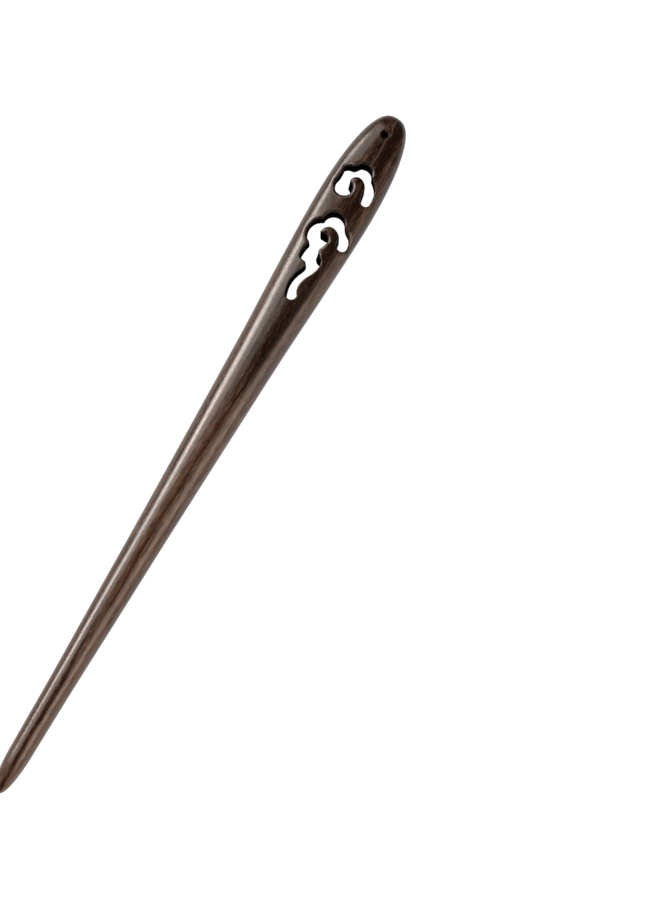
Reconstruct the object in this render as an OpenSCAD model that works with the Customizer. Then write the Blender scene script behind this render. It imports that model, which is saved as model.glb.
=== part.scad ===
// A straight wooden hair stick, carved from one piece and lying on its underside.
// A slim shaft with an oval section swells into a flat head that is pierced by two
// curled clouds and, near its end, by a small hole for a tassel.
// Across the stick is X, along it is Y with the head towards +Y, and Z is up.

/* [Stick] */
// Length over all, from the tip to the end of the head
stick_l = 180; // [160:1:210]
// Width at the widest place of the head
head_w = 14; // [12:0.1:17]
// Thickness at the widest place of the head
head_t = 7.7; // [5:0.1:10]
// Width at the shoulder of the tip
tip_w = 5.5; // [3.5:0.1:7]
// Thickness at the shoulder of the tip
tip_t = 4.2; // [3:0.1:6]
// Length of the rounded tip, up to its shoulder
tip_l = 12; // [6:0.5:20]
// Length of the rounded crown, from the widest place to the end
crown_l = 24; // [18:0.5:32]
// How much is rubbed off the rounded underside, for a narrow flat to lie on
flat_depth = 0.1; // [0.04:0.02:0.4]

/* [Tassel hole] */
// Diameter of the drilled hole
hole_d = 1.2; // [0.8:0.1:2.2]
// Distance from the end of the head to the middle of the hole
hole_inset = 5.3; // [3.5:0.1:7]
// How far the hole sits to the right of the stick's middle line
hole_shift = -0.15; // [-0.5:0.05:0.5]

/* [Clouds] */
// Solid wood between the end of the head and the upper cloud
crown_solid = 13.4; // [11:0.1:18]
// Length of the upper cloud along the stick
upper_l = 8.8; // [7:0.1:11]
// Wood left beside the upper cloud, between it and each edge of the head
upper_wall = 2.3; // [1.6:0.05:3]
// Solid bridge between the two clouds
bridge_l = 3.9; // [2.5:0.1:6]
// Length of the lower cloud with its tail
lower_l = 22.3; // [18:0.1:27]
// Wood left beside the lower cloud, between it and each edge of the head
lower_wall = 2.05; // [1.4:0.05:3]
// How far the upper cloud sits to the right of the stick's middle line
upper_shift = 0.16; // [-0.3:0.02:0.5]
// How far the lower cloud sits to the right of the stick's middle line
lower_shift = 0.52; // [-0.3:0.02:0.6]

/* [Hidden] */

// Steps round the section's upper half, and round each side of its underside from the
// widest place down to the flat
upper_steps = 18;
under_steps = 7;
// Rings along the tip, the body and the crown
tip_rings = 8;
body_rings = 32;
crown_rings = 12;
// Steps along each arc of a cloud's outline, and sides of the drilled hole
arc_steps = 5;
bore_fn = 48;
// How far the cutters stand out past the wood, above and below
through = 1;

// The rounded ends are superellipses. The columns are the power of the way along the
// end and the power of the share of width left: a higher power is a blunter end.
tip_powers = [2, 2.6];
crown_powers = [2.2, 2.6];

// Growth of the body from the tip's shoulder to the head's widest place.
// Rows are evenly spaced along the body. The columns are shares of the growth:
// [width, thickness].
width_column = 0;
thickness_column = 1;
growth_rows = [
    [0.00, 0.00],
    [0.07, 0.12],
    [0.18, 0.25],
    [0.28, 0.40],
    [0.40, 0.56],
    [0.53, 0.71],
    [0.67, 0.85],
    [0.87, 0.96],
    [1.00, 1.00]
];

// Outlines of the two openings, clockwise from above. The columns are
// [across, along, bow]: across is a share of the cloud's width from its left edge,
// along is a share of its length from its lower end, and bow is the rise of the arc
// to the next corner, as a share of that arc's chord. A positive bow hollows the wood,
// and a negative one lets the wood stand into the opening.
upper_rows = [
    // lobe at the lower left
    [0.466, 0.145, 0.21],
    [0.128, 0.030, 0.09],
    [0.000, 0.307, -0.06],
    // bumps of the crest, from left to right
    [0.021, 0.687, 0.12],
    [0.214, 0.799, -0.05],
    [0.332, 0.955, 0.165],
    [0.636, 0.944, 0.06],
    [0.711, 0.799, 0.06],
    [0.947, 0.520, 0.05],
    // foot at the right
    [1.000, 0.173, 0.41],
    [0.770, 0.140, 0.00],
    // the scroll, over its back, round its nose and under it
    [0.722, 0.419, -0.15],
    [0.503, 0.626, -0.20],
    [0.310, 0.475, -0.20],
    [0.342, 0.369, 0.20]
];
lower_rows = [
    // dome and right lobe of the crest
    [0.209, 0.882, 0.425],
    [0.695, 0.933, -0.06],
    [0.878, 0.860, 0.10],
    // foot at the right
    [1.000, 0.749, 0.50],
    [0.767, 0.723, -0.10],
    // the scroll, over its back, round its nose and under it
    [0.721, 0.800, -0.10],
    [0.498, 0.847, -0.19],
    [0.300, 0.767, -0.25],
    [0.315, 0.736, 0.03],
    [0.498, 0.734, 0.15],
    // right bank of the tail
    [0.554, 0.692, 0.03],
    [0.473, 0.581, -0.15],
    [0.625, 0.486, 0.20],
    [0.681, 0.435, 0.055],
    [0.590, 0.306, -0.05],
    [0.490, 0.173, -0.11],
    // end of the tail and its left bank
    [0.574, 0.067, 0.38],
    [0.356, 0.013, 0.05],
    [0.270, 0.142, 0.06],
    [0.346, 0.315, -0.05],
    [0.387, 0.377, -0.25],
    // notch and left lobe
    [0.295, 0.410, 0.00],
    [0.169, 0.424, 0.05],
    [0.189, 0.585, -0.30],
    [0.143, 0.616, 0.287]
];

// Places along the stick
shoulder_y = tip_l;
widest_y = stick_l - crown_l;
upper_top = stick_l - crown_solid;
upper_y = upper_top - upper_l;
lower_y = upper_y - bridge_l - lower_l;

// A smooth curve through one column of a table, at u from 0 to 1. It leaves the first
// row with that row's own slope and arrives level at the last one.
function slope(rows, i, column) =
    i == 0 ? rows[1][column] - rows[0][column]
    : i == len(rows) - 1 ? 0
    : (rows[i + 1][column] - rows[i - 1][column]) / 2;
function curve(rows, u, column) =
    let (
        place = min(max(u, 0), 1) * (len(rows) - 1),
        i = min(floor(place), len(rows) - 2),
        t = place - i,
        a = rows[i][column],
        b = rows[i + 1][column],
        ma = slope(rows, i, column),
        mb = slope(rows, i + 1, column)
    )
    a * (1 + 2 * t) * (1 - t) ^ 2 + b * t ^ 2 * (3 - 2 * t)
    + ma * t * (1 - t) ^ 2 - mb * t ^ 2 * (1 - t);

// Width or thickness of the body before its ends are rounded
function body_size(y, at_tip, at_head, column) =
    at_tip + (at_head - at_tip)
    * curve(growth_rows, (y - shoulder_y) / (widest_y - shoulder_y), column);

// Share of the size left at a share of the way along a rounded end
function rounding(way, powers) = (1 - way ^ powers[0]) ^ (1 / powers[1]);
function end_share(y) =
    y < shoulder_y ? rounding(1 - y / tip_l, tip_powers)
    : y > widest_y ? rounding((y - widest_y) / crown_l, crown_powers)
    : 1;

// The section is an oval whose lowest part is rubbed off. From the tip's shoulder to the
// widest place its flat lies at z = 0, and past them it shrinks about the oval's middle.
function body_t(y) = body_size(y, tip_t, head_t, thickness_column);
function middle_z(y) = (body_t(y) - flat_depth) / 2;
function half_w(y) = body_size(y, tip_w, head_w, width_column) / 2 * end_share(y);
function half_t(y) = (body_t(y) + flat_depth) / 2 * end_share(y);

// Turns round the oval, from its right side over the top to the right end of the flat
function section_turns(y) =
    let (
        under_turn = asin((body_t(y) - flat_depth) / (body_t(y) + flat_depth))
    )
    concat(
        [for (k = [0 : upper_steps]) 180 * k / upper_steps],
        [for (k = [1 : under_steps]) 180 + under_turn * k / under_steps],
        [for (k = [under_steps : -1 : 1]) 360 - under_turn * k / under_steps]
    );
function section(y) = [
    for (turn = section_turns(y))
        [half_w(y) * cos(turn), y, middle_z(y) + half_t(y) * sin(turn)]
];
section_points = upper_steps + 1 + 2 * under_steps;

// Places of the rings, closer together towards both ends
function end_step(i, rings) = 1 - cos(90 * i / rings);
ring_places = concat(
    [for (i = [1 : tip_rings]) tip_l * end_step(i, tip_rings)],
    [for (i = [1 : body_rings - 1]) shoulder_y + (widest_y - shoulder_y) * i / body_rings],
    [for (i = [crown_rings : -1 : 1]) stick_l - crown_l * end_step(i, crown_rings)]
);

// The stick before it is pierced: a skin over the rings, closed by a point at each end
module carved_blank() {
    rings = len(ring_places);
    points = concat(
        [for (y = ring_places) each section(y)],
        [[0, 0, middle_z(0)], [0, stick_l, middle_z(stick_l)]]
    );
    tip_point = rings * section_points;
    end_point = tip_point + 1;
    skin = [
        for (i = [0 : rings - 2], k = [0 : section_points - 1])
            let (
                a = i * section_points + k,
                b = i * section_points + (k + 1) % section_points,
                c = a + section_points,
                d = b + section_points
            )
            each [[a, b, c], [b, d, c]]
    ];
    ends = [
        for (k = [0 : section_points - 1])
            let (
                next = (k + 1) % section_points,
                last = (rings - 1) * section_points
            )
            each [[tip_point, next, k], [end_point, last + k, last + next]]
    ];
    polyhedron(points = points, faces = concat(skin, ends), convexity = 4);
}

// Points of the arc from p towards q, without q itself. The arc rises bow times the
// chord to the left of the way from p to q.
function arc_points(p, q, bow) =
    let (
        half = 2 * atan(2 * bow),
        middle = (p + q) / 2,
        along = (q - p) / 2,
        left = [-along.y, along.x]
    )
    bow == 0 ? [p]
    : [
        for (i = [0 : arc_steps - 1])
            let (turn = half * (2 * i / arc_steps - 1))
            middle + along * sin(turn) / sin(half)
            + left * (cos(turn) - cos(half)) / sin(half)
    ];

// A closed outline through a table's corners, scaled to the cloud's width and length
function cloud_outline(rows, w, l) = [
    for (i = [0 : len(rows) - 1])
        let (
            p = rows[i],
            q = rows[(i + 1) % len(rows)]
        )
        each arc_points([p[0] * w, p[1] * l], [q[0] * w, q[1] * l], p[2])
];

// Cutter of one cloud, whose lower end is at y
module cloud(rows, w, l, shift, y) {
    translate([shift - w / 2, y, -through])
        linear_extrude(height = head_t + 2 * through)
            polygon(cloud_outline(rows, w, l));
}

module tassel_hole() {
    translate([hole_shift, stick_l - hole_inset, -through])
        cylinder(h = head_t + 2 * through, d = hole_d, $fn = bore_fn);
}

module stick() {
    color([0.16, 0.11, 0.09])
        translate([0, -stick_l / 2, 0])
            difference() {
                carved_blank();
                cloud(upper_rows, head_w - 2 * upper_wall, upper_l, upper_shift, upper_y);
                cloud(lower_rows, head_w - 2 * lower_wall, lower_l, lower_shift, lower_y);
                tassel_hole();
            }
}

stick();
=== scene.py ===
import bpy
import numpy as np
from mathutils import Matrix, Vector
from mathutils.geometry import delaunay_2d_cdt


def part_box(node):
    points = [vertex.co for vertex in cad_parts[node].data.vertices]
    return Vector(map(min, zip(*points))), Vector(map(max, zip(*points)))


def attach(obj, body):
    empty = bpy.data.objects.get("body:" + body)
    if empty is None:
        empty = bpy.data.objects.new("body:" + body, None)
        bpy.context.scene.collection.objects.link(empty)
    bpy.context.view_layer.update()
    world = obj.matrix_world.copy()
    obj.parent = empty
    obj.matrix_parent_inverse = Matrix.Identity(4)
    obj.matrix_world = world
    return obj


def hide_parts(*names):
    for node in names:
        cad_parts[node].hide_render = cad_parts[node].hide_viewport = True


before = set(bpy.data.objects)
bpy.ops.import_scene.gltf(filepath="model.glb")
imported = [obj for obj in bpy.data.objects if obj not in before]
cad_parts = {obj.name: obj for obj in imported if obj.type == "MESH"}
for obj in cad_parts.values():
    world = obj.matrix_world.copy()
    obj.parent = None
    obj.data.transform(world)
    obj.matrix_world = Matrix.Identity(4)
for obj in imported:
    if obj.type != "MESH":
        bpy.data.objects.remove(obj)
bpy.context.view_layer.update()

# A carved wooden hair stick lying on a pale floor, seen from above.
# X is across the stick, Y along it with the head towards +Y, Z up. Shapes are worked out
# in millimetres from the tip and put into the mesh in metres.
mm = 0.001
lowCorner, highCorner = (np.array(corner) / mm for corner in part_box("stick"))
stickLength = highCorner[1] - lowCorner[1]
headWidth = highCorner[0] - lowCorner[0]
headThickness = highCorner[2] - lowCorner[2]
print("stage 1: frame loaded, stick", np.round([stickLength, headWidth, headThickness], 2), "mm")


# the plain body

body = {
    "tipWidth": 5.5, "tipThickness": 4.2, "tipLength": 12.0, "tipPowers": (2.0, 2.6),
    "crownLength": 24.0, "crownPowers": (2.2, 2.6),
    "flatDepth": 0.1,                 # rubbed off the underside, so that it lies on a flat
    # growth from the tip's shoulder to the widest place, in even steps
    "widthGrowth": [0.0, 0.07, 0.18, 0.28, 0.40, 0.53, 0.67, 0.87, 1.0],
    "thicknessGrowth": [0.0, 0.12, 0.25, 0.40, 0.56, 0.71, 0.85, 0.96, 1.0],
    "pierced": (128.6, 176.6),        # stretch whose faces are cut through, from the tip
    "halfSides": 60,                  # steps round half the oval
    "tipRings": 36, "shaftRings": 190, "piercedRings": 138, "endRings": 22,
    "tipCrowding": 2.6, "endCrowding": 2.2,   # powers that crowd the rings towards each end
}


def smoothThrough(values, u):
    # cubic through evenly spaced values: on each span the two end values and end slopes
    # are blended; it leaves with the first span's slope and arrives level
    v = np.asarray(values, float)
    slopes = np.concatenate([[v[1] - v[0]], (v[2:] - v[:-2]) / 2, [0.0]])
    place = np.clip(u, 0, 1) * (len(v) - 1)
    i = np.minimum(place.astype(int), len(v) - 2)
    t = place - i
    return (v[i] * (1 + 2 * t) * (1 - t) ** 2 + v[i + 1] * t ** 2 * (3 - 2 * t)
            + slopes[i] * t * (1 - t) ** 2 - slopes[i + 1] * t ** 2 * (1 - t))


def endShare(y):
    # superellipse at both ends: (1 - way^p)^(1/q), where way runs from 0 at the shoulder to
    # 1 at the very end
    tipWay = np.clip(1 - y / body["tipLength"], 0, 1)
    crownWay = np.clip((y - stickLength) / body["crownLength"] + 1, 0, 1)
    (tipP, tipQ), (crownP, crownQ) = body["tipPowers"], body["crownPowers"]
    return (1 - tipWay ** tipP) ** (1 / tipQ) * (1 - crownWay ** crownP) ** (1 / crownQ)


def ovalAt(y):
    # half width, half thickness, height of the middle and depth of the flat below it at y.
    # The oval reaches the flat's depth under the table and is rubbed off there, so its
    # middle lies at (thickness - flat depth) / 2 and the underside is one straight line.
    u = (y - body["tipLength"]) / (stickLength - body["crownLength"] - body["tipLength"])
    width = body["tipWidth"] + (headWidth - body["tipWidth"]) * smoothThrough(body["widthGrowth"], u)
    thick = body["tipThickness"] + (headThickness - body["tipThickness"]) * smoothThrough(
        body["thicknessGrowth"], u)
    share = endShare(y)
    middle = (thick - body["flatDepth"]) / 2
    return width / 2 * share, (thick + body["flatDepth"]) / 2 * share, middle, middle * share


def ovalPoints(turn, y, drop=0.0):
    # x = half width * cos(turn), z = middle + half thickness * sin(turn), but not lower than
    # the flat; drop sinks the point towards the middle plane
    halfW, halfT, middle, flat = ovalAt(y)
    rise = np.maximum(halfT * np.sin(turn), -flat)
    return np.stack([halfW * np.cos(turn), y - stickLength / 2,
                     middle + rise - np.sign(np.sin(turn)) * drop], -1)


def gridFaces(rows, columns):
    # quads between neighbouring rows of a grid whose last column is joined to the first
    row, column = np.meshgrid(np.arange(rows - 1), np.arange(columns), indexing="ij")
    a, b = row * columns + column, row * columns + (column + 1) % columns
    return np.stack([a, a + columns, b + columns, b], -1).reshape(-1, 4)


def fullRings(places):
    # closed rings round the oval at the given distances from the tip
    turn = np.arange(2 * body["halfSides"]) * np.pi / body["halfSides"]
    y, turn = np.meshgrid(places, turn, indexing="ij")
    return ovalPoints(turn, y).reshape(-1, 3), gridFaces(len(places), turn.shape[1])


def endCap(y, ringPlace):
    # fan from the very end to its nearest ring, wound so that it faces out
    ring, _ = fullRings(np.array([ringPlace]))
    middle = ovalAt(np.array(y))[2]
    points = np.vstack([ring, [[0.0, y - stickLength / 2, float(middle)]]])
    k = np.arange(len(ring))
    following = (k + 1) % len(ring)
    hub = np.full_like(k, len(ring))
    order = [k, following, hub] if y == 0 else [following, k, hub]
    return points, np.stack(order, -1)


# the two clouds and the tassel hole

# Rows are [across, along, bow]: shares of the cloud's width and length, and the rise of the
# arc to the next corner as a share of its chord. A positive bow hollows the wood.
clouds = {
    "upper": {
        "width": 9.4, "length": 8.8, "shift": 0.16, "lowEnd": 157.8,
        "rows": [
            [0.466, 0.145, 0.21], [0.128, 0.030, 0.09], [0.000, 0.307, -0.06],
            [0.021, 0.687, 0.12], [0.214, 0.799, -0.05], [0.332, 0.955, 0.165],
            [0.636, 0.944, 0.06], [0.711, 0.799, 0.06], [0.947, 0.520, 0.05],
            [1.000, 0.173, 0.41], [0.770, 0.140, 0.00],
            [0.722, 0.419, -0.15], [0.503, 0.626, -0.20], [0.310, 0.475, -0.20],
            [0.342, 0.369, 0.20],
        ],
        # where the wall leans: centre, reach, and how far its upper rim lies across and
        # along from the plain outline, while the lower rim lies as far the other way
        "leans": [((-1.05, 160.9), 1.0, (0.10, 0.30))],
    },
    "lower": {
        "width": 9.9, "length": 22.3, "shift": 0.52, "lowEnd": 131.6,
        "rows": [
            [0.209, 0.882, 0.425], [0.695, 0.933, -0.06], [0.878, 0.860, 0.10],
            [1.000, 0.749, 0.50], [0.767, 0.723, -0.10],
            [0.721, 0.800, -0.10], [0.498, 0.847, -0.19], [0.300, 0.767, -0.25],
            [0.315, 0.736, 0.03], [0.498, 0.734, 0.15],
            [0.554, 0.692, 0.03], [0.473, 0.581, -0.15], [0.625, 0.486, 0.20],
            [0.681, 0.435, 0.055], [0.590, 0.306, -0.05], [0.490, 0.173, -0.11],
            [0.574, 0.067, 0.38], [0.356, 0.013, 0.05], [0.270, 0.142, 0.06],
            [0.346, 0.315, -0.05], [0.387, 0.377, -0.25],
            [0.295, 0.410, 0.00], [0.169, 0.424, 0.05], [0.189, 0.585, -0.30],
            [0.143, 0.616, 0.287],
        ],
        "leans": [((-0.4, 148.1), 1.0, (0.0, 0.34)), ((1.15, 143.2), 1.2, (0.34, 0.24))],
    },
}
tasselHole = {
    "radius": 0.6, "inset": 5.3, "shift": -0.15, "steps": 64,
    # painted shade round it, standing for the dark of the hole's hollow: offset of its middle,
    # radius, and its waves as (number round the spot, share of the radius, turn)
    "holeShade": ((-0.13, -0.02), 0.97, [(3, 0.10, 0.9), (5, 0.07, 2.2), (8, 0.05, 0.4)]),
}
carving = {
    "arcSteps": 24,                   # points along an arc, before they are spaced evenly
    "step": 0.16,                     # spacing of points along a cut's outline
    "soften": 0.09,                   # rounding of its corners
    # rounded edges: (distance from the tip, how far they reach into the face, how deep they
    # fall) along the stick, and how fast the painted shade on them, dark where the face turns down into
    # the cut, fades towards the face
    "cloudRim": {
        "sizes": [(130, 0.32, 0.25), (141, 0.32, 0.25), (145, 0.95, 0.62), (180, 0.95, 0.62)],
        "rimShade": 1.0,
    },
    "holeRim": {"sizes": [(0, 0.60, 0.42), (180, 0.60, 0.42)], "rimShade": 1.2},
    "rimAngles": [0, 14, 28, 42, 56, 70, 84, 98, 112],   # past 90 the ring lies on the face
    "clearing": 1.36,                 # reaches from a cut within which only its rings have points
    "ringShare": 0.985,               # share of its offset, and of the half width, that a ring keeps
    "wallRows": 14,
    "sheetScale": 6.0,                # millimetres to a radian when a face is laid flat
    "samePlace": 1e-6, "noArea": 1e-9,   # less than this counts as nothing
}


def arcPoints(p, q, bow):
    # circle arc from p to q, both complex numbers, that rises bow times the chord to its left
    steps = carving["arcSteps"]
    if bow == 0:
        return p + (q - p) * np.arange(steps) / steps
    half = 2 * np.arctan(2 * bow)
    turn = half * (2 * np.arange(steps) / steps - 1)
    bent = np.sin(turn) + 1j * (np.cos(turn) - np.cos(half))
    return (p + q) / 2 + (q - p) / 2 * bent / np.sin(half)


def evenClosed(path, step):
    # the closed path again with points at even distances along it
    loop = np.append(path, path[0])
    reached = np.concatenate([[0], np.cumsum(np.abs(np.diff(loop)))])
    count = int(reached[-1] / step)
    wanted = np.arange(count) * reached[-1] / count
    return np.interp(wanted, reached, loop.real) + 1j * np.interp(wanted, reached, loop.imag)


def cloudOutline(cloud):
    # arcs through the table's corners, made even, then softened: each point becomes the
    # bell-weighted mean of its neighbours along the closed path
    rows = np.array(cloud["rows"])
    left = cloud["shift"] - cloud["width"] / 2
    corners = (left + rows[:, 0] * cloud["width"]
               + 1j * (cloud["lowEnd"] + rows[:, 1] * cloud["length"]))
    arcs = [arcPoints(p, q, bow) for p, q, bow in zip(corners, np.roll(corners, -1), rows[:, 2])]
    path = evenClosed(np.concatenate(arcs), carving["step"])
    waves = np.fft.fftfreq(len(path), carving["step"])
    return np.fft.ifft(np.fft.fft(path) * np.exp(-2 * (np.pi * waves * carving["soften"]) ** 2))


def leaning(path, cloud, side):
    # each lean moves the rim by a flat-topped bell round its centre, one way for the upper
    # rim and the other way for the lower one
    moved = path.copy()
    for centre, reach, lean in cloud["leans"]:
        bell = np.exp(-(np.abs(path - complex(*centre)) / reach) ** 4)
        moved += side * complex(*lean) * bell
    return moved


holeCentre = tasselHole["shift"] + 1j * (stickLength - tasselHole["inset"])
holeTurns = np.arange(tasselHole["steps"]) / tasselHole["steps"]
holePath = holeCentre + tasselHole["radius"] * np.exp(-2j * np.pi * holeTurns)
# each cut is its outline, the cloud whose leans it follows, and its rounded rim
cuts = [(cloudOutline(cloud), cloud, carving["cloudRim"]) for cloud in clouds.values()]
cuts.append((holePath, None, carving["holeRim"]))


def rimPath(cut, side):
    # outline of a cut at its upper rim, side 1, or at its lower one, side -1
    path, cloud, _ = cut
    return path if cloud is None else leaning(path, cloud, side)


def woodward(path):
    # unit normals into the wood: the outlines run clockwise, so the wood is on the left
    along = np.roll(path, -1) - np.roll(path, 1)
    return 1j * along / np.abs(along)


def distanceTo(points, path):
    # distance from each point to the nearest point of the path
    return np.abs(points[:, None] - path[None, :]).min(1)


def insidePath(points, path):
    # even-odd rule: count the path's edges that a line to the right of each point crosses
    p, a, b = points[:, None], path[None, :], np.roll(path, -1)[None, :]
    spans = (a.imag > p.imag) != (b.imag > p.imag)
    slope = (b.real - a.real) / np.where(b.imag == a.imag, 1, b.imag - a.imag)
    return (spans & (p.real < a.real + slope * (p.imag - a.imag))).sum(1) % 2 == 1


def rimSize(rim, y):
    # reach and depth of a rounded edge at a distance from the tip
    places, reaches, depths = np.array(rim["sizes"]).T
    return np.interp(y, places, reaches), np.interp(y, places, depths)


def rimDrop(distance, rim, y):
    # quarter of an ellipse: at the cut's edge the face has dropped by the rim's depth
    reach, depth = rimSize(rim, y)
    way = np.clip(1 - distance / reach, 0, 1)
    return depth * (1 - np.sqrt(1 - way ** 2))


def sheetGrid(side):
    # even grid of turns and distances from the tip on one face of the pierced stretch, less
    # the points near a cut or inside it; the border stays whole, so that it can be welded
    y0, y1 = body["pierced"]
    turns = np.arange(body["halfSides"] + 1) * np.pi / body["halfSides"]
    rows = np.linspace(y0, y1, body["piercedRings"] + 1)
    y, turn = (grid.ravel() for grid in np.meshgrid(rows, turns, indexing="ij"))
    border = (turn == turns[0]) | (turn == turns[-1]) | (y == y0) | (y == y1)
    plan = ovalAt(y)[0] * np.cos(turn) + 1j * y
    keep = np.ones(len(plan), bool)
    for cut in cuts:
        path, reach = rimPath(cut, side), rimSize(cut[2], plan.imag)[0]
        near = (distanceTo(plan, path) < carving["clearing"] * reach) | insidePath(plan, path)
        keep &= border | ~near
    return turn[keep], y[keep]


def rimRings(side):
    # rings of points round each cut, reach * (1 - cos(angle)) into the wood for each angle of
    # the rim. The first ring is the cut itself, whose edges the triangles must keep.
    rings, edges, count = [], [], 0
    for cut in cuts:
        path, rim = rimPath(cut, side), cut[2]
        for angle in np.radians(carving["rimAngles"]):
            offset = rimSize(rim, path.imag)[0] * (1 - np.cos(angle))
            ring = path + woodward(path) * offset
            if angle == 0:
                numbers = count + np.arange(len(ring))
                edges.append(np.stack([numbers, np.roll(numbers, -1)], -1))
            else:                     # points go where rings meet, or where one leaves the face
                ring = ring[(distanceTo(ring, path) > carving["ringShare"] * offset)
                            & (np.abs(ring.real) < carving["ringShare"] * ovalAt(ring.imag)[0])]
            rings.append(ring)
            count += len(ring)
    return np.concatenate(rings), np.concatenate(edges)


def joinFlat(flat, edges, side):
    # triangles between points that are laid flat, wound so that they face out when the sheet
    # is bent round its side of the stick
    made = delaunay_2d_cdt(flat.tolist(), edges.tolist(), [], 0, carving["samePlace"])
    source = np.array([(group[0] if group else -1) for group in made[3]])
    faces = source[np.array(made[2])]
    if (faces < 0).any():
        raise SystemExit("the cuts cross each other")
    corner = flat[faces]
    area = np.cross(corner[:, 1] - corner[:, 0], corner[:, 2] - corner[:, 0])
    real = np.abs(area) > carving["noArea"]
    faces, area = faces[real], area[real]
    return np.where((area * side < 0)[:, None], faces[:, ::-1], faces)


def holeShadeAt(places):
    # 1 inside the painted shade round the tassel hole, whose radius goes in and out by the sum of its
    # waves, else 0
    offset, radius, waves = tasselHole["holeShade"]
    away = places - holeCentre - complex(*offset)
    ragged = 1 + sum(share * np.sin(number * np.angle(away) + start) for number, share, start in waves)
    return (np.abs(away) < radius * ragged).astype(int)


def piercedSheet(side):
    # one face of the pierced stretch. It is laid flat (turn round the oval against distance
    # along the stick), joined into triangles, cleared of those inside a cut, and bent back
    # with its rims rounded off. With the points and faces come how much painted shade each point
    # takes near a cut, and which faces lie in the painted shade round the tassel hole.
    scale, y0 = carving["sheetScale"], body["pierced"][0]
    rings, edges = rimRings(side)
    gridTurn, gridY = sheetGrid(side)
    y = np.concatenate([rings.imag, gridY])
    turn = np.concatenate([np.arccos(rings.real / ovalAt(rings.imag)[0]), gridTurn])
    flat = np.stack([scale * (np.pi / 2 - turn), y - y0], -1)
    faces = joinFlat(flat, edges, side)
    centre = flat[faces].mean(1)
    centreY = centre[:, 1] + y0
    centrePlan = ovalAt(centreY)[0] * np.sin(centre[:, 0] / scale) + 1j * centreY
    plan = ovalAt(y)[0] * np.cos(turn) + 1j * y
    drop, rimShading = np.zeros(len(y)), np.zeros(len(y))
    for cut in cuts:
        path, rim = rimPath(cut, side), cut[2]
        outside = ~insidePath(centrePlan, path)
        faces, centrePlan = faces[outside], centrePlan[outside]
        distance = distanceTo(plan, path)
        distance[distance < carving["samePlace"]] = 0.0
        drop = np.maximum(drop, rimDrop(distance, rim, y))
        # painted shade near the cut's edge, fading towards the face
        fading = rim["rimShade"] * (1 - distance / rimSize(rim, y)[0])
        rimShading = np.maximum(rimShading, np.clip(fading, 0, 1))
    return ovalPoints(side * turn, y, drop), faces, rimShading, holeShadeAt(plan[faces].mean(1))


def cutWall(cut):
    # profile carried along the path: a straight rule from the upper rim down to the lower one
    upper, under = rimPath(cut, 1), rimPath(cut, -1)
    rims = []
    for side, path in ((1, upper), (-1, under)):
        turn = np.arccos(path.real / ovalAt(path.imag)[0])
        rims.append(ovalPoints(side * turn, path.imag, rimSize(cut[2], path.imag)[1]))
    way = np.linspace(0, 1, carving["wallRows"])[:, None, None]
    points = rims[0] * (1 - way) + rims[1] * way
    return points.reshape(-1, 3), gridFaces(carving["wallRows"], len(upper))


def makeStick():
    # the rings, end caps, pierced faces and walls in one mesh; slot 0 is the polished wood and
    # slot 1 the cut walls and the spot round the tassel hole, both painted nearly black as shade
    tip = body["tipLength"]
    y0, y1 = body["pierced"]
    # nearly even steps of the width, so the rings crowd towards each end
    tipSteps = np.arange(1, body["tipRings"] + 1) / body["tipRings"]
    endSteps = np.arange(body["endRings"], 0, -1) / body["endRings"]
    tipPlaces = tip * tipSteps ** body["tipCrowding"]
    shaftPlaces = np.linspace(tip, y0, body["shaftRings"] + 1)
    endPlaces = stickLength - (stickLength - y1) * endSteps ** body["endCrowding"]
    parts = [
        (*fullRings(np.concatenate([tipPlaces, shaftPlaces[1:]])), 0),
        (*fullRings(endPlaces), 0),
        (*endCap(0.0, tipPlaces[0]), 0),
        (*endCap(stickLength, endPlaces[-1]), 0),
    ]
    rimShadeParts = [np.zeros(len(points)) for points, _, _ in parts]
    # each face brings its painted shade near the cuts and its faces in the painted shade round the tassel
    # hole
    for side in (1, -1):
        points, faces, rimShading, holeShade = piercedSheet(side)
        parts.append((points, faces, holeShade))
        rimShadeParts.append(rimShading)
    # the walls are painted as shade in their own material; they count as fully shaded
    for cut in cuts:
        points, faces = cutWall(cut)
        parts.append((points, faces, 1))
        rimShadeParts.append(np.ones(len(points)))
    # weld the parts: points that agree to a ten-thousandth of a millimetre become one
    starts = np.cumsum([0] + [len(points) for points, _, _ in parts])
    points = np.vstack([points for points, _, _ in parts])
    _, first, joined = np.unique(np.round(points, 4), axis=0, return_index=True, return_inverse=True)
    joined = joined.ravel()
    faces, slots = [], []
    for (_, partFaces, slot), start in zip(parts, starts):
        faces += joined[partFaces + start].tolist()
        slots += np.broadcast_to(slot, len(partFaces)).tolist()
    mesh = bpy.data.meshes.new("carvedStick")
    mesh.from_pydata((points[first] * mm).tolist(), [], faces)
    mesh.polygons.foreach_set("material_index", slots)
    mesh.shade_smooth()
    # how much painted shade each point takes near a cut
    rimShade = mesh.attributes.new("rimShade", "FLOAT", "POINT")
    rimShade.data.foreach_set("value", np.concatenate(rimShadeParts)[first].astype(np.float32))
    mesh.validate()
    mesh.update()
    piece = bpy.data.objects.new("carvedStick", mesh)
    bpy.context.scene.collection.objects.link(piece)
    return piece


carvedStick = makeStick()
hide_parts("stick")
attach(carvedStick, "root")
print("stage 2: carved stick made,", len(carvedStick.data.polygons), "faces")


# materials

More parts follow.
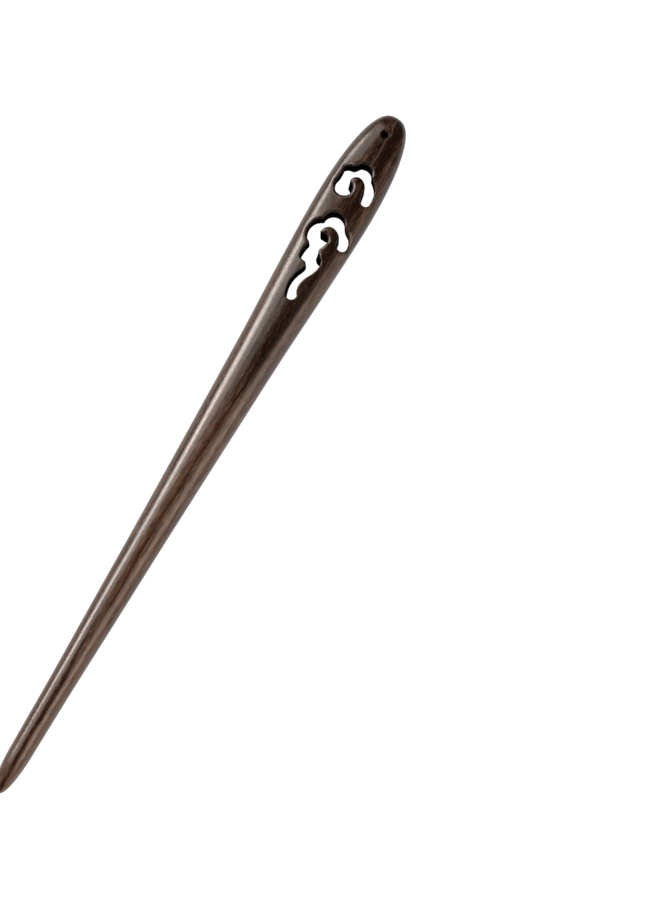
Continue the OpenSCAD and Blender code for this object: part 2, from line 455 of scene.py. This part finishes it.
wood = {
    # colours from the darkest wood to the palest, with their places on the scale of tone
    "tones": [(0.0, (0.0076, 0.0023, 0.0009)), (0.25, (0.0205, 0.0067, 0.0031)),
              (0.55, (0.0525, 0.0248, 0.0142)), (1.0, (0.1230, 0.0660, 0.0430))],
    "plainTone": 0.59,                # the wood's place on that scale before anything moves it
    "rust": (0.046, 0.0120, 0.0026),
    "scratch": (0.120, 0.088, 0.074),
    # painted shade: the near black laid on the cut walls, on the rims next to them and round the tassel
    # hole
    "paintedShade": (0.0016, 0.0011, 0.0010),
    # waves to a millimetre across and along the grain, detail and roughness of each noise
    "noises": {
        "wander": (0.02, 0.012, 1.0, 0.5), "wobble": (0.12, 0.045, 2.0, 0.5),
        "zones": (0.11, 0.006, 1.0, 0.5), "streaks": (0.55, 0.014, 3.0, 0.62),
        "hairlines": (1.9, 0.07, 2.0, 0.65), "fibres": (2.9, 0.35, 3.0, 0.62),
        "pores": (7.5, 0.8, 1.0, 0.5), "polish": (0.35, 0.05, 3.0, 0.5),
        "rimShade": (3.0, 3.0, 2.0, 0.5), "fileMarks": (2.2, 0.9, 3.0, 0.5),
    },
    "wander": (3.0, -2.0),            # millimetres that the grain wanders across and in height
    "wobble": (-1.17, 0.63),          # millimetres that the drawn streaks wobble across
    # ranges are (from, to, result at the first, result at the second). A grain's first range
    # turns its noise into a change of tone, and its second one is the share of that change
    # that is left, by the share of the length from the tip: all of them grow towards the head
    "zones": (0.3, 0.7, -0.08, 0.08),
    "streaks": ((0.28, 0.72, -0.24, 0.24), (0.50, 0.75, 0.55, 1.0)),
    "hairlines": ((0.32, 0.68, -0.5, 0.5), (0.55, 0.85, 0.16, 0.34)),
    "fibres": ((0.3, 0.7, -0.32, 0.32), (0.10, 0.50, 0.85, 1.0)),
    # the plank's paler side lies along the right of the lower shaft: millimetres across
    # where it starts and ends, shares of the length where it ends, and its change of tone
    "paleSide": {"inner": (0.3, 1.3), "outer": (2.7, 2.1), "along": (0.40, 0.16), "tone": 0.33},
    # its dark heart lies in the head, and stops short of both edges but not of the end
    "heart": {"along": (0.54, 0.68), "edge": (4.3, 2.7), "crown": (0.70, 0.86, 0.0, 0.75), "tone": -0.38},
    # drawn streaks that are darker or paler than the wood: half width, change of tone, and
    # (distance from the tip, millimetres across, strength) along each
    "threads": {
        "dark": (0.75, -0.40, [
            (3, 0.18, 1.0), (10, 0.12, 1.0), (20, 0.17, 1.0), (32, -0.1, 1.0), (42, -1.0, 0.9),
            (52, -1.8, 1.0), (64, -2.3, 1.0), (80, -2.7, 0.9), (98, -3.3, 0.4), (112, -3.6, 0.0)]),
        # the dark line down the middle: partly the wood's own dark grain line, partly painted shade where
        # the reflections of the left and right lamps leave a dark gap
        "middle": (0.37, -0.80, [
            (46, 0.3, 0.0), (54, 0.38, 1.0), (62, 0.32, 1.0), (72, 0.20, 1.0), (80, 0.23, 1.0),
            (88, 0.40, 1.0), (96, 0.7, 1.0), (104, 1.05, 1.0), (112, 1.5, 0.9), (120, 1.75, 0.8),
            (130, 2.3, 0.0)]),
        # a broad dark band right of the middle: painted shade deepening the dark gap between the lamps'
        # reflections on the upper shaft, and darker wood in the head
        "head": (1.8, -0.32, [
            (104, 1.0, 0.0), (114, 1.5, 0.5), (122, 2.0, 0.6), (132, 2.6, 0.9), (140, 2.8, 1.0),
            (153, 2.2, 0.8), (160, 2.3, 0.8), (167, 2.3, 0.9), (173, 1.9, 1.0), (177, 1.5, 1.0),
            (180, 1.2, 0.9)]),
        # painted shade: a dark line along the left flank, in the gap between the highlight and the
        # floor's reflection at the edge
        "edge": (0.42, -0.32, [
            (66, -3.2, 0.0), (78, -3.25, 0.8), (90, -3.4, 1.0), (100, -3.65, 1.0),
            (110, -4.1, 0.3), (118, -4.6, 0.0)]),
        "side": (1.2, 0.26, [
            (40, 2.3, 0.0), (55, 2.4, 0.7), (76, 2.55, 0.9), (94, 2.9, 0.8), (108, 3.5, 0.8),
            (122, 4.1, 0.5), (130, 4.8, 0.4), (138, 5.0, 0.4), (143, 5.1, 0.7), (151, 4.9, 0.9),
            (166, 4.8, 0.6), (175, 4.2, 0.0)]),
    },
    # two more that are laid over the colour: half width, share of rust or of the scratch's
    # colour, and the same places
    "rustyThread": (0.72, 0.90, [
        (44, 0.2, 0.0), (54, 0.35, 0.9), (62, 0.25, 1.0), (72, 0.12, 1.0), (80, 0.1, 1.0),
        (88, 0.3, 1.0), (96, 0.6, 0.9), (104, 0.95, 0.6), (116, 1.5, 0.0)]),
    "scratchThread": (0.21, 0.52, [
        (164, 0.4, 0.0), (167.5, 0.4, 0.7), (170.2, 0.65, 0.7), (172, 0.6, 0.7), (174, 0.35, 0.8),
        (175.5, 0.65, 1.0), (176.7, 0.2, 1.0), (178.6, -0.05, 0.9), (179.8, -0.1, 0.5)]),
    "threadReach": 7.0,               # millimetres across, each way, that a drawn streak may lie
    "rustFibres": (0.35, 0.65, 0.7, 1.0),    # fibres show through the rust
    "pores": {"edge": (0.60, 0.68), "dark": 0.5, "roughness": 0.22},
    # strength and real height in millimetres of each relief
    "relief": {"fibres": (0.25, 0.022), "pores": (0.42, 0.02), "fileMarks": (0.5, 0.05)},
    "polish": {"roughness": (0.3, 0.7, 0.19, 0.28), "coat": 0.6, "coatRoughness": 0.15, "ior": 1.5,
               "tint": (1.0, 0.85, 0.73)},
    # painted shade at the cuts' edges: the ragged noise on its border, the range where it turns dark, and
    # the roughness it adds
    "rimShade": {"ragged": (0.3, 0.7, -0.13, 0.13), "edge": (0.62, 0.90), "roughness": 0.4},
    # cut walls: share of painted shade over the file marks, roughness, and no gloss
    "cut": {"paintedShade": (0.35, 0.7, 0.97, 0.85), "roughness": 0.8, "ior": 1.05, "specular": 0.0},
}


def addNode(tree, kind, at, **settings):
    # a node of one kind, placed on a grid; settings name its properties or its inputs
    node = tree.nodes.new(kind)
    node.location = (at[0] * 200, at[1] * 200)
    for name, value in settings.items():
        if hasattr(node, name):
            setattr(node, name, value)
        else:
            node.inputs[name].default_value = value
    return node


def addMath(tree, at, operation, first, second=None, clamp=False):
    # one arithmetic node whose inputs are sockets or plain numbers
    node = addNode(tree, "ShaderNodeMath", at, operation=operation, use_clamp=clamp)
    for place, value in enumerate((first, second)):
        if isinstance(value, bpy.types.NodeSocket):
            tree.links.new(value, node.inputs[place])
        elif value is not None:
            node.inputs[place].default_value = value
    return node.outputs[0]


def addChain(tree, at, operation, values, clamp=False):
    # several values added or multiplied one after another; clamp holds the last result
    # between 0 and 1
    result = values[0]
    for number, value in enumerate(values[1:], 1):
        last = number == len(values) - 1
        result = addMath(tree, (at[0] + number - 1, at[1]), operation, result, value, clamp and last)
    return result


def addRange(tree, at, value, low, high, toLow=0.0, toHigh=1.0, smooth=True):
    # a value carried over from one range to another, along an s-shaped curve or a straight line
    node = addNode(tree, "ShaderNodeMapRange", at,
                   interpolation_type="SMOOTHSTEP" if smooth else "LINEAR")
    for name, number in (("From Min", low), ("From Max", high), ("To Min", toLow), ("To Max", toHigh)):
        node.inputs[name].default_value = number
    tree.links.new(value, node.inputs["Value"])
    return node.outputs["Result"]


def addMix(tree, at, factor, first, second):
    # two colours mixed; the factor and the colours are sockets or plain values
    node = addNode(tree, "ShaderNodeMix", at, data_type="RGBA")
    for place, value in ((0, factor), (6, first), (7, second)):
        if isinstance(value, bpy.types.NodeSocket):
            tree.links.new(value, node.inputs[place])
        else:
            node.inputs[place].default_value = (*value, 1.0) if isinstance(value, tuple) else value
    return node.outputs[2]


def addNoise(tree, at, coordinates, name):
    # one of the wood's noises, stretched along the grain
    across, along, detail, roughness = wood["noises"][name]
    mapping = addNode(tree, "ShaderNodeMapping", at)
    mapping.inputs["Scale"].default_value = (across / mm, along / mm, across / mm)
    tree.links.new(coordinates, mapping.inputs["Vector"])
    noise = addNode(tree, "ShaderNodeTexNoise", (at[0] + 1, at[1]), Scale=1.0, Detail=detail,
                    Roughness=roughness)
    tree.links.new(mapping.outputs["Vector"], noise.inputs["Vector"])
    return noise.outputs["Fac"]


def addGrain(tree, at, noise, fromTip, ranges):
    # a noise turned into a change of tone, which is faint or strong by the distance from the tip
    change, share = ranges
    return addMath(tree, (at[0] + 1, at[1]), "MULTIPLY", addRange(tree, at, noise, *change, smooth=False),
                   addRange(tree, (at[0], at[1] - 1), fromTip, *share))


def addCurve(tree, at, value, points, low, high):
    # a curve drawn through (place, height) points, between the heights low and high
    curve = addNode(tree, "ShaderNodeFloatCurve", at)
    line = curve.mapping.curves[0]
    shares = [(place, (height - low) / (high - low)) for place, height in points]
    for number, share in enumerate([(0.0, shares[0][1])] + shares + [(1.0, shares[-1][1])]):
        if number < 1:
            line.points[0].location = share
        elif number < len(shares) + 1:
            line.points.new(*share)
        else:
            line.points[len(line.points) - 1].location = share
    curve.mapping.update()
    tree.links.new(value, curve.inputs["Value"])
    return addRange(tree, (at[0] + 1, at[1]), curve.outputs["Value"], 0, 1, low, high, False)


def addThread(tree, at, across, fromTip, thread):
    # a streak that follows a drawn path: full on the path, gone at its half width
    halfWidth, strength, places = thread
    reach = wood["threadReach"] * mm
    path = addCurve(tree, at, fromTip, [(y / stickLength, x * mm) for y, x, _ in places], -reach, reach)
    power = addCurve(tree, (at[0], at[1] - 1), fromTip, [(y / stickLength, p) for y, _, p in places],
                     0.0, 1.0)
    away = addMath(tree, (at[0] + 3, at[1]), "ABSOLUTE",
                   addMath(tree, (at[0] + 2, at[1]), "SUBTRACT", across, path))
    mask = addRange(tree, (at[0] + 4, at[1]), away, halfWidth * mm, 0.0)
    return addChain(tree, (at[0] + 5, at[1]), "MULTIPLY", [mask, power, strength])


def makeFigureGroup():
    # the wood's figure in the solid, with painted shade in some of its drawn streaks. Its tone is
    # one number that the noises, the plank's pale side and dark heart and the drawn streaks move
    # up or down. The tone is turned into colour, and the rusty streak, the pores and the scratch are laid
    # over it.
    tree = bpy.data.node_groups.new("woodFigure", "ShaderNodeTree")
    for name, way, kind in (("Position", "INPUT", "Vector"), ("Colour", "OUTPUT", "Color"),
                            ("Fibres", "OUTPUT", "Float"), ("Pores", "OUTPUT", "Float")):
        tree.interface.new_socket(name=name, in_out=way, socket_type="NodeSocket" + kind)
    start = addNode(tree, "NodeGroupInput", (-16, 0))
    end = addNode(tree, "NodeGroupOutput", (19, 0))
    position = start.outputs["Position"]

    # the grain wanders a little: a slow noise shifts the position across and in height
    wander = addNoise(tree, (-14, 3), position, "wander")
    shift = addNode(tree, "ShaderNodeCombineXYZ", (-11, 3))
    for axis, row, reach in zip("XZ", (3, 4), wood["wander"]):
        tree.links.new(addRange(tree, (-12, row), wander, 0, 1, -reach * mm, reach * mm, False),
                       shift.inputs[axis])
    moved = addNode(tree, "ShaderNodeVectorMath", (-10, 3), operation="ADD")
    tree.links.new(position, moved.inputs[0])
    tree.links.new(shift.outputs["Vector"], moved.inputs[1])
    zones, streaks, hairlines, fibres, pores = (
        addNoise(tree, (-9, 8 - 2 * row), moved.outputs["Vector"], name)
        for row, name in enumerate(("zones", "streaks", "hairlines", "fibres", "pores")))

    # millimetres across, in metres, with a wobble for all that is drawn, and share of the length
    parts = addNode(tree, "ShaderNodeSeparateXYZ", (-12, -3))
    tree.links.new(position, parts.inputs["Vector"])
    leftmost, rightmost = wood["wobble"]
    wobble = addRange(tree, (-12, -2), addNoise(tree, (-14, -2), position, "wobble"), 0, 1,
                      leftmost * mm, rightmost * mm, False)
    across = addMath(tree, (-11, -3), "ADD", parts.outputs["X"], wobble)
    half = stickLength / 2 * mm
    fromTip = addRange(tree, (-11, -4), parts.outputs["Y"], -half, half, smooth=False)

    pale, heart = wood["paleSide"], wood["heart"]
    inner, outer, edge = (addRange(tree, (-6, -row), value, limits[0] * mm, limits[1] * mm)
                          for row, value, limits in (
                              (3, across, pale["inner"]), (4, across, pale["outer"]),
                              (5, addMath(tree, (-7, -5), "ABSOLUTE", across), heart["edge"])))
    paleSide = addChain(tree, (-4, -3), "MULTIPLY", [
        inner, addRange(tree, (-5, -4), fromTip, *pale["along"]), outer, pale["tone"]])
    within = addMath(tree, (-5, -5), "MAXIMUM", edge, addRange(tree, (-6, -6), fromTip, *heart["crown"]))
    darkHeart = addChain(tree, (-4, -5), "MULTIPLY", [
        addRange(tree, (-5, -6), fromTip, *heart["along"]), within, heart["tone"]])
    drawn = [addThread(tree, (-9, -8 - 3 * row), across, fromTip, thread)
             for row, thread in enumerate(wood["threads"].values())]
    tone = addChain(tree, (0, 3), "ADD", [
        wood["plainTone"],
        addGrain(tree, (-6, 6), streaks, fromTip, wood["streaks"]),
        addRange(tree, (-6, 8), zones, *wood["zones"], smooth=False),
        paleSide, darkHeart,
        addGrain(tree, (-6, 4), hairlines, fromTip, wood["hairlines"]),
        *drawn,
        addGrain(tree, (-6, 2), fibres, fromTip, wood["fibres"])], clamp=True)

    ramp = addNode(tree, "ShaderNodeValToRGB", (14, 3))
    elements = ramp.color_ramp.elements
    for number, (place, colour) in enumerate(wood["tones"]):
        element = elements[number] if number < 2 else elements.new(place)
        element.position, element.color = place, (*colour, 1.0)
    tree.links.new(tone, ramp.inputs["Fac"])
    rusty = addMath(tree, (14, 1), "MULTIPLY",
                    addThread(tree, (-9, -23), across, fromTip, wood["rustyThread"]),
                    addRange(tree, (13, 1), fibres, *wood["rustFibres"]))
    poreMask = addRange(tree, (13, -1), pores, *wood["pores"]["edge"])
    darkPores = addMath(tree, (14, 0), "MULTIPLY", poreMask, wood["pores"]["dark"])
    scratched = addThread(tree, (-9, -26), across, fromTip, wood["scratchThread"])
    colour = ramp.outputs["Color"]
    for number, (mask, laidOver) in enumerate((
            (rusty, wood["rust"]), (darkPores, wood["tones"][0][1]), (scratched, wood["scratch"]))):
        colour = addMix(tree, (16 + number, 2), mask, colour, laidOver)
    tree.links.new(colour, end.inputs["Colour"])
    tree.links.new(fibres, end.inputs["Fibres"])
    tree.links.new(poreMask, end.inputs["Pores"])
    return tree


woodFigure = makeFigureGroup()


def startMaterial(name):
    # a material with its shader, the object's own position and the wood's figure there
    material = bpy.data.materials.new(name)
    material.use_nodes = True
    tree = material.node_tree
    position = addNode(tree, "ShaderNodeTexCoord", (-10, 0)).outputs["Object"]
    figure = addNode(tree, "ShaderNodeGroup", (-8, 0), node_tree=woodFigure)
    tree.links.new(position, figure.inputs["Position"])
    return material, tree, tree.nodes["Principled BSDF"], position, figure.outputs


def addRelief(tree, at, height, name, below=None):
    # a bump of real height over another one
    strength, depth = wood["relief"][name]
    bump = addNode(tree, "ShaderNodeBump", at, Strength=strength, Distance=depth * mm)
    tree.links.new(height, bump.inputs["Height"])
    if below is not None:
        tree.links.new(below, bump.inputs["Normal"])
    return bump.outputs["Normal"]


def makePolishedWood():
    # oiled and rubbed until it shines: a soft lacquer-like gloss over open pores
    material, tree, shader, position, figure = startMaterial("polishedWood")
    polish, rimShading = wood["polish"], wood["rimShade"]
    # painted shade at the rims of the openings, where the face turns down into the cut: a ragged dark
    # line without gloss
    rims = addNode(tree, "ShaderNodeAttribute", (-6, 4), attribute_name="rimShade")
    ragged = addRange(tree, (-6, 3), addNoise(tree, (-8, 3), position, "rimShade"), *rimShading["ragged"],
                      smooth=False)
    rimShade = addRange(tree, (-4, 3), addMath(tree, (-5, 3), "ADD", rims.outputs["Fac"], ragged),
                      *rimShading["edge"])
    tree.links.new(addMix(tree, (-2, 2), rimShade, figure["Colour"], wood["paintedShade"]),
                   shader.inputs["Base Color"])
    tree.links.new(addRange(tree, (-2, 3), rimShade, 0, 1, polish["coat"], 0.0, False),
                   shader.inputs["Coat Weight"])
    roughness = addChain(tree, (-3, -1), "ADD", [
        addRange(tree, (-5, -1), addNoise(tree, (-8, -2), position, "polish"), *polish["roughness"]),
        addMath(tree, (-5, 0), "MULTIPLY", figure["Pores"], wood["pores"]["roughness"]),
        addMath(tree, (-4, 0), "MULTIPLY", rimShade, rimShading["roughness"])])
    tree.links.new(roughness, shader.inputs["Roughness"])
    normal = addRelief(tree, (-3, -3), figure["Fibres"], "fibres")
    hollows = addMath(tree, (-4, -3), "MULTIPLY", figure["Pores"], -1.0)
    tree.links.new(addRelief(tree, (-2, -3), hollows, "pores", normal), shader.inputs["Normal"])
    shader.inputs["IOR"].default_value = polish["ior"]
    shader.inputs["Specular Tint"].default_value = (*polish["tint"], 1.0)
    shader.inputs["Coat Roughness"].default_value = polish["coatRoughness"]
    shader.inputs["Coat IOR"].default_value = polish["ior"]
    return material


def makeShadedCutWood():
    # the sawn and filed walls of the openings, painted nearly black as the shade that fills the narrow
    # cuts
    material, tree, shader, position, figure = startMaterial("shadedCutWood")
    fileMarks = addNoise(tree, (-8, -2), position, "fileMarks")
    # mostly painted shade, with the file marks letting a little of the wood show
    paintedShade = addRange(tree, (-5, 1), fileMarks, *wood["cut"]["paintedShade"])
    tree.links.new(addMix(tree, (-3, 1), paintedShade, figure["Colour"], wood["paintedShade"]),
                   shader.inputs["Base Color"])
    tree.links.new(addRelief(tree, (-3, -2), fileMarks, "fileMarks"), shader.inputs["Normal"])
    shader.inputs["Roughness"].default_value = wood["cut"]["roughness"]
    shader.inputs["IOR"].default_value = wood["cut"]["ior"]
    shader.inputs["Specular IOR Level"].default_value = wood["cut"]["specular"]
    return material


carvedStick.data.materials.append(makePolishedWood())
carvedStick.data.materials.append(makeShadedCutWood())
print("stage 3: materials made")


# floor, lights and camera

studio = {
    "floorSize": 4.0,                 # metres
    "floorColour": (0.08, 0.08, 0.08), "floorRoughness": 0.9,
    "floorGlow": 1.0,                 # how bright the floor is to the camera
    "bounce": 0.75,                   # how bright the floor is to the stick
    # brightness of the room, and the share of the walls' light past the head's end
    "leftWall": 0.55, "rightWall": 0.85, "ceiling": 0.012, "farWall": 0.2,
    # parts of a direction of length 1: across it where each wall is at its full, upwards
    # where the walls end, and along the stick where their light starts to fall and has fallen
    "wallSide": 0.6, "wallTop": 0.5, "wallFar": (0.15, 0.65),
    "lampDistance": 0.8,              # metres from the stick's middle
    # wide lamps: slopes across and along of the way to each, its sides in metres, and what
    # it shows in a mirror
    "boxes": {
        "leftWide": ((-0.98, -0.18), (0.60, 0.60), 2.3),
        "leftInner": ((-0.24, 0.03), (0.20, 0.20), 1.0),
        "leftHead": ((-1.00, 0.90), (0.36, 0.46), 1.75),
    },
    # strips of light: slopes of the way to both ends, width and what each shows in a mirror
    "strips": {
        "leftBright": ((-1.34, -0.72), (-1.03, -0.14), 0.17, 10.0),
        "leftMiddle": ((-1.03, -0.13), (-1.85, 0.29), 0.17, 9.9),
        "leftHigh": ((-2.15, 0.33), (-2.20, 0.85), 0.19, 8.2),
        "leftTop": ((-2.00, 0.90), (-2.60, 1.50), 0.26, 7.8),
        "rightStrip": ((0.62, -0.36), (1.60, 0.15), 0.26, 1.85),
        "rightLow": ((0.86, -0.64), (0.38, -0.41), 0.14, 2.35),
        "rightOuter": ((2.1, -0.1), (3.0, 0.5), 0.22, 0.6),
    },
    # an even fill that brings out the wood's own colour without a highlight of its own
    "fill": ((0.65, 0.1), (0.9, 0.9), 2.5),
    "tinted": {"rightStrip": (1.0, 0.93, 0.82)},   # lamps that aren't white
}


def makeFloor():
    # one pale square under the stick, bright enough to show as plain white
    half = studio["floorSize"] / 2
    corner = np.array([[-half, -half, 0], [half, -half, 0], [half, half, 0], [-half, half, 0]])
    mesh = bpy.data.meshes.new("floor")
    mesh.from_pydata(corner.tolist(), [], [(0, 1, 2, 3)])
    floor = bpy.data.objects.new("floor", mesh)
    bpy.context.scene.collection.objects.link(floor)
    material = bpy.data.materials.new("paleFloor")
    material.use_nodes = True
    tree = material.node_tree
    shader = tree.nodes["Principled BSDF"]
    shader.inputs["Base Color"].default_value = (*studio["floorColour"], 1)
    shader.inputs["Roughness"].default_value = studio["floorRoughness"]
    shader.inputs["Emission Color"].default_value = (1, 1, 1, 1)
    seen = addNode(tree, "ShaderNodeLightPath", (-4, 0)).outputs["Is Camera Ray"]
    tree.links.new(addRange(tree, (-2, 0), seen, 0, 1, studio["bounce"], studio["floorGlow"], False),
                   shader.inputs["Emission Strength"])
    mesh.materials.append(material)


def makeRoom():
    # a dim room: its walls are lighter on the right and darker past the head's end, and it
    # is dark overhead where the camera hangs. The camera itself sees it as white as the floor.
    world = bpy.data.worlds.new("room")
    bpy.context.scene.world = world
    world.use_nodes = True
    tree = world.node_tree
    background = tree.nodes["Background"]
    background.inputs["Color"].default_value = (1, 1, 1, 1)
    direction = addNode(tree, "ShaderNodeTexCoord", (-6, 0))
    parts = addNode(tree, "ShaderNodeSeparateXYZ", (-5, 0))
    tree.links.new(direction.outputs["Generated"], parts.inputs["Vector"])
    side = addRange(tree, (-4, 1), parts.outputs["X"], -studio["wallSide"], studio["wallSide"],
                    studio["leftWall"], studio["rightWall"])
    far = addRange(tree, (-4, 2), parts.outputs["Y"], *studio["wallFar"], 1.0, studio["farWall"])
    low = addRange(tree, (-4, 0), parts.outputs["Z"], studio["wallTop"], 0.0)
    walls = addChain(tree, (-3, 1), "MULTIPLY", [side, far, low])
    glow = addMath(tree, (-2, 0), "ADD", walls, studio["ceiling"])
    seen = addNode(tree, "ShaderNodeLightPath", (-2, -1)).outputs["Is Camera Ray"]
    tree.links.new(addMath(tree, (-1, 0), "MAXIMUM", glow, seen), background.inputs["Strength"])


def slopeAt(slopes):
    # place of a lamp in the direction that leans by these slopes from straight up
    return Vector((*slopes, 1)).normalized() * studio["lampDistance"]


def addSoftbox(name, centre, longWay, size, brightness):
    # a rectangular lamp that faces the stick's middle; longWay is the direction of its
    # first side, and brightness is what it shows in a mirror
    facing = centre.normalized()
    first = (longWay - facing * longWay.dot(facing)).normalized()
    lamp = bpy.data.lights.new(name, "AREA")
    lamp.shape = "RECTANGLE"
    lamp.size, lamp.size_y = size
    lamp.energy = brightness * np.pi * size[0] * size[1]
    lamp.color = studio["tinted"].get(name, (1, 1, 1))
    holder = bpy.data.objects.new(name, lamp)
    turn = Matrix((first, facing.cross(first), facing)).transposed()
    holder.matrix_world = Matrix.Translation(centre) @ turn.to_4x4()
    bpy.context.scene.collection.objects.link(holder)
    return holder


def makeLamps():
    alongStick = Vector((0, 1, 0))
    for name, (slopes, size, brightness) in studio["boxes"].items():
        addSoftbox(name, slopeAt(slopes), alongStick, size, brightness)
    for name, (lowSlopes, highSlopes, width, brightness) in studio["strips"].items():
        low, high = slopeAt(lowSlopes), slopeAt(highSlopes)
        addSoftbox(name, (low + high) / 2, high - low, ((high - low).length, width), brightness)
    slopes, size, brightness = studio["fill"]
    addSoftbox("rightFill", slopeAt(slopes), alongStick, size, brightness).visible_glossy = False


# The photo's frame: the camera looks straight down, and the stick leans in the picture.
# Its axis passes through this place, in millimetres across the stick and from its tip.
view = {"across": 25.6, "fromTip": 106.97, "height": 285.0, "lean": 30.75,
        "frameHeight": 205.87, "sensor": 36.0, "clipStart": 0.01}


def makeCamera():
    lens = bpy.data.cameras.new("camera")
    lens.sensor_width = view["sensor"]
    lens.lens = view["sensor"] * view["height"] / view["frameHeight"]
    lens.clip_start = view["clipStart"]
    camera = bpy.data.objects.new("camera", lens)
    camera.location = (view["across"] * mm, (view["fromTip"] - stickLength / 2) * mm,
                       (view["height"] + headThickness / 2) * mm)
    camera.rotation_euler = (0, 0, np.radians(view["lean"]))
    bpy.context.scene.collection.objects.link(camera)
    bpy.context.scene.camera = camera


makeFloor()
makeRoom()
makeLamps()
makeCamera()
bpy.context.scene.view_settings.view_transform = "Standard"
print("stage 4: floor, lights and camera made")
